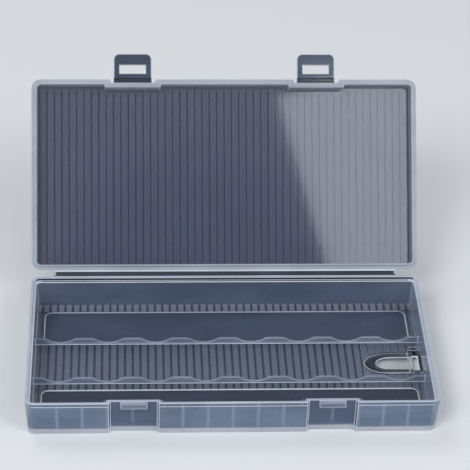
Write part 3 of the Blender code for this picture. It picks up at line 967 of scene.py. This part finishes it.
makeHingeWeb()
print("living hinge made")


# Latch tabs and their webs

latch = {
    "width": 15.3 * mm,
    "length": 10 * mm,
    "thickness": 1.2 * mm,
    "rootBar": 2 * mm,
    "slotLength": 3.4 * mm,
    "slotWidth": 10.5 * mm,
    "tipRadius": 2.3 * mm,
    "tipSteps": 8,
    "webLength": 2.1 * mm,
    "webThickness": 0.4 * mm,
    "webSteps": 8,
    "webWaistShare": 0.7,
    "webRound": 0.08 * mm,
    "edgeRound": 0.3 * mm,
    "slotRoundShare": 0.7,
}


def layOnLid(piece, axis):  # from flat on z = 0, with its tip at -y, to its place on the open lid
    piece.matrix_world = Matrix.Translation(axis) @ lidTurn
    return settle(piece)


def makeLatchTab(name, node, body, axis):
    root = -latch["webLength"] / 2
    tip = root - latch["length"]
    bpy.ops.mesh.primitive_cube_add(size=1, location=(0, (root + tip) / 2, 0))
    piece = bpy.context.object
    piece.name = piece.data.name = name
    piece.scale = (latch["width"], latch["length"], latch["thickness"])
    settle(piece)
    half = latch["width"] / 2

    def tipCorner(first, second):
        upright = abs(first.z - second.z) > latch["thickness"] / 2
        return upright and abs(first.y - tip) < slight

    editWith(piece, tipCorner, "EDGE")
    bpy.ops.mesh.bevel(offset=latch["tipRadius"], segments=latch["tipSteps"], affect="EDGES")
    slotNear = root - latch["rootBar"]
    slotFar = slotNear - latch["slotLength"]
    side = latch["slotWidth"] / 2
    for point, normal in (
        ((side, 0, 0), (1, 0, 0)), ((-side, 0, 0), (1, 0, 0)),
        ((0, slotNear, 0), (0, 1, 0)), ((0, slotFar, 0), (0, 1, 0)),
    ):
        bpy.ops.mesh.select_all(action="SELECT")
        bpy.ops.mesh.bisect(plane_co=point, plane_no=normal)
    bpy.ops.object.mode_set(mode="OBJECT")

    def atSlot(place, room=0):
        return abs(place.x) < side + room and slotFar - room < place.y < slotNear + room

    editWith(piece, lambda p, n: abs(n.z) > 0.9 and atSlot(p))
    bpy.ops.mesh.bridge_edge_loops()
    bpy.ops.mesh.select_all(action="SELECT")
    bpy.ops.mesh.normals_make_consistent(inside=False)
    bpy.ops.object.mode_set(mode="OBJECT")
    dress(piece, ("tabSkin", "tabEdgeHighlight"))
    nearby = 0.1 * mm

    def crisperSlot(first, second):
        return latch["slotRoundShare"] if atSlot(first, nearby) and atSlot(second, nearby) else 1

    # the tab's rounds and slot sides are painted pale as highlights
    roundEdges(piece, latch["edgeRound"], "tabEdgeHighlight", 3, most=crisperSlot)
    finishFaces(piece, "tabEdgeHighlight", lambda p, n: abs(n.z) < 0.3 and atSlot(p, nearby))
    finishFaces(piece, "tabSkin", lambda p, n: p.y > root - latch["edgeRound"] * 1.1)
    layOnLid(piece, axis)
    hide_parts(node)
    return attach(piece, body)


def makeLatchWeb(name, node, axis):
    bpy.ops.mesh.primitive_cube_add(size=1)
    piece = bpy.context.object
    piece.name = piece.data.name = name
    piece.scale = (latch["width"], latch["webLength"], latch["webThickness"])
    settle(piece)
    editAll(piece)
    for step in range(1, latch["webSteps"]):
        place = (0, (step / latch["webSteps"] - 0.5) * latch["webLength"], 0)
        bpy.ops.mesh.select_all(action="SELECT")
        bpy.ops.mesh.bisect(plane_co=place, plane_no=(0, 1, 0))
    bpy.ops.object.mode_set(mode="OBJECT")
    editWith(piece, lambda p: abs(p.y) < tiny, "VERT")
    bpy.ops.transform.resize(value=(1, 1, latch["webWaistShare"]), center_override=(0, 0, 0))
    bpy.ops.object.mode_set(mode="OBJECT")
    dress(piece, ("filmSkin",))
    roundEdges(piece, latch["webRound"], "filmSkin")
    layOnLid(piece, axis)
    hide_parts(node)
    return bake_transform(piece)


for side, axis in zip(("left", "right"), latchAxes):
    word = side.capitalize()
    makeLatchTab("latchTab" + word, "latch_tab_" + side, "latch_" + side, axis)
    makeLatchWeb("latchWeb" + word, "latch_film_" + side, axis)
print("latches made")


# Hanging loop

loop = {
    "edgeRound": 0.42 * mm,
    "segments": 4,
    "pinRound": 1 * mm,
    "tipEnd": 62 * mm,
    "halfThickness": 0.65 * mm,
    "ringWidth": 1.15 * mm,
    "ringDepth": 0.35 * mm,
    "halfWidth": 6 * mm,
}


def makeLoop():
    pivot = Vector(frame["joints"][3]["pos_m"])

    def isSide(place, normal):
        return abs(normal.y) > 0.9 and abs(place.y - pivot.y) > loop["halfWidth"] - tiny

    def isFlat(place, normal):
        return abs(normal.z) > 0.9

    cuts = [(isSide, pivot, Vector((0, 0, 1))), (isFlat, pivot, Vector((0, 1, 0)))]
    for side in (-1, 1):
        cuts.append((isSide, pivot + Vector((side * loop["pinRound"], 0, 0)), Vector((1, 0, 0))))

    def atPin(place):
        return (abs(place.y - pivot.y) > loop["halfWidth"] - slight
                and abs(place.x - pivot.x) < loop["pinRound"] + 0.01 * mm)

    piece = solidCopy("hanger_loop", "hangerLoop", ("loopBodyShade", "loopEdgeHighlight"), cuts)
    cutFaces(piece, lambda p, n: True, (loop["tipEnd"], 0, 0), (1, 0, 0))
    bpy.ops.object.mode_set(mode="OBJECT")
    for side in (-1, 1):  # the tip is thinner between its outer rim and the eye's ring; the rim and ring tops are painted pale as highlights
        level = pivot.z + side * loop["halfThickness"]

        def onTip(place, normal):
            return (normal.z * side > 0.9 and abs(place.z - level) < slight
                    and place.x < loop["tipEnd"])

        editWith(piece, onTip)
        bpy.ops.mesh.inset(thickness=loop["ringWidth"], depth=-loop["ringDepth"])
        bpy.ops.object.mode_set(mode="OBJECT")
        finishFaces(piece, "loopEdgeHighlight", onTip)
    roundEdges(piece, loop["edgeRound"], "loopEdgeHighlight", loop["segments"], 35,
               most=lambda first, second: 0 if atPin(first) and atPin(second) else 1)
    smoothRounds(piece, 50)
    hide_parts("hanger_loop")
    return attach(piece, "hanger")


makeLoop()
print("loop made")


# Floor, light and camera

studio = {
    "floorSize": 6,
    "floorTone": (0.8, 0.805, 0.82, 1),
    "skyTone": (0.8, 0.81, 0.83, 1),
    "skyLight": 0.36,
    "lampTone": (0.94, 0.97, 1),
    "softboxTone": (0.86, 0.93, 1),
    "lamps": {  # place, aim, size, roll and power
        "softbox": ((0.241, -0.869, 0.881), (0.11, 0.042, 0.036), (0.2, 0.23), 11, 0.75),
        "keyLamp": ((-0.68, -0.9, 1.2), (0, 0.04, 0.04), (0.7, 0.7), 0, 11.5),
        "fillLamp": ((0.95, -0.75, 1.05), (0, 0.04, 0.04), (0.7, 0.7), 0, 8),
        "backLamp": ((-0.55, 0.75, 1.35), (0, 0.04, 0.04), (0.7, 0.7), 0, 4.5),
    },
    "cameraPlace": (-38.04, -624.88, 510.22),  # in millimetres
    "cameraTurn": 3.723,
    "cameraPitch": 36.75,
    "cameraRoll": 2.058,
    "cameraLens": 152.87,
    "cameraSensor": 36,
    "transparentBounces": 48,
}


def makeFloor():
    bpy.ops.mesh.primitive_plane_add(size=studio["floorSize"], location=(0, 0, 0))
    floor = bpy.context.object
    floor.name = "studioFloor"
    material = bpy.data.materials.new("studioFloor")
    material.use_nodes = True
    shader = material.node_tree.nodes["Principled BSDF"]
    shader.inputs["Base Color"].default_value = studio["floorTone"]
    shader.inputs["Roughness"].default_value = 0.85
    floor.data.materials.append(material)


def makeSky():  # pale where it is seen, and dimmer as a lamp
    world = bpy.data.worlds.new("studioSky")
    scene.world = world
    world.use_nodes = True
    tree = world.node_tree
    tree.nodes.clear()
    lamp, shown = (
        addNode(tree, "ShaderNodeBackground", (100, height), {
            "Color": studio["skyTone"], "Strength": strength,
        }).outputs["Background"]
        for height, strength in ((-100, studio["skyLight"]), (100, 1))
    )
    rays = addNode(tree, "ShaderNodeLightPath", (-300, 300)).outputs
    either = addMath(tree, (-100, 300), "MAXIMUM", rays["Is Camera Ray"], rays["Is Glossy Ray"])
    seen = addMath(tree, (80, 300), "MAXIMUM", either, rays["Is Transmission Ray"])
    choose = addNode(tree, "ShaderNodeMixShader", (350, 0), {"Fac": seen, 1: lamp, 2: shown})
    addNode(tree, "ShaderNodeOutputWorld", (600, 0), {"Surface": choose.outputs["Shader"]})


def makeLamp(name, place, aim, size, roll, power):
    data = bpy.data.lights.new(name, "AREA")
    data.shape = "RECTANGLE"
    data.size, data.size_y = size
    data.energy = power
    data.color = studio["softboxTone" if name == "softbox" else "lampTone"]
    lamp = bpy.data.objects.new(name, data)
    facing = (Vector(aim) - Vector(place)).to_track_quat("-Z", "Y").to_matrix().to_4x4()
    rolled = Matrix.Rotation(radians(roll), 4, "Z")
    lamp.matrix_world = Matrix.Translation(place) @ facing @ rolled
    lamp.visible_camera = False
    scene.collection.objects.link(lamp)


def makeCamera():
    turn, pitch, roll = (radians(studio["camera" + word]) for word in ("Turn", "Pitch", "Roll"))
    look = Vector((sin(turn) * cos(pitch), cos(turn) * cos(pitch), -sin(pitch)))
    level = Vector((cos(turn), -sin(turn), 0))
    rise = level.cross(look)
    across = cos(roll) * level + sin(roll) * rise
    upward = cos(roll) * rise - sin(roll) * level
    data = bpy.data.cameras.new("photoCamera")
    data.lens = studio["cameraLens"]
    data.sensor_width = data.sensor_height = studio["cameraSensor"]
    camera = bpy.data.objects.new("photoCamera", data)
    turnTo = Matrix((across, upward, -look)).transposed().to_4x4()
    camera.matrix_world = Matrix.Translation(Vector(studio["cameraPlace"]) * mm) @ turnTo
    scene.collection.objects.link(camera)
    scene.camera = camera


makeFloor()
makeSky()
for lampName, settings in studio["lamps"].items():
    makeLamp(lampName, *settings)
makeCamera()
scene.view_settings.view_transform = "Standard"
scene.cycles.transparent_max_bounces = studio["transparentBounces"]
scene.cycles.use_denoising = True
print("studio made")
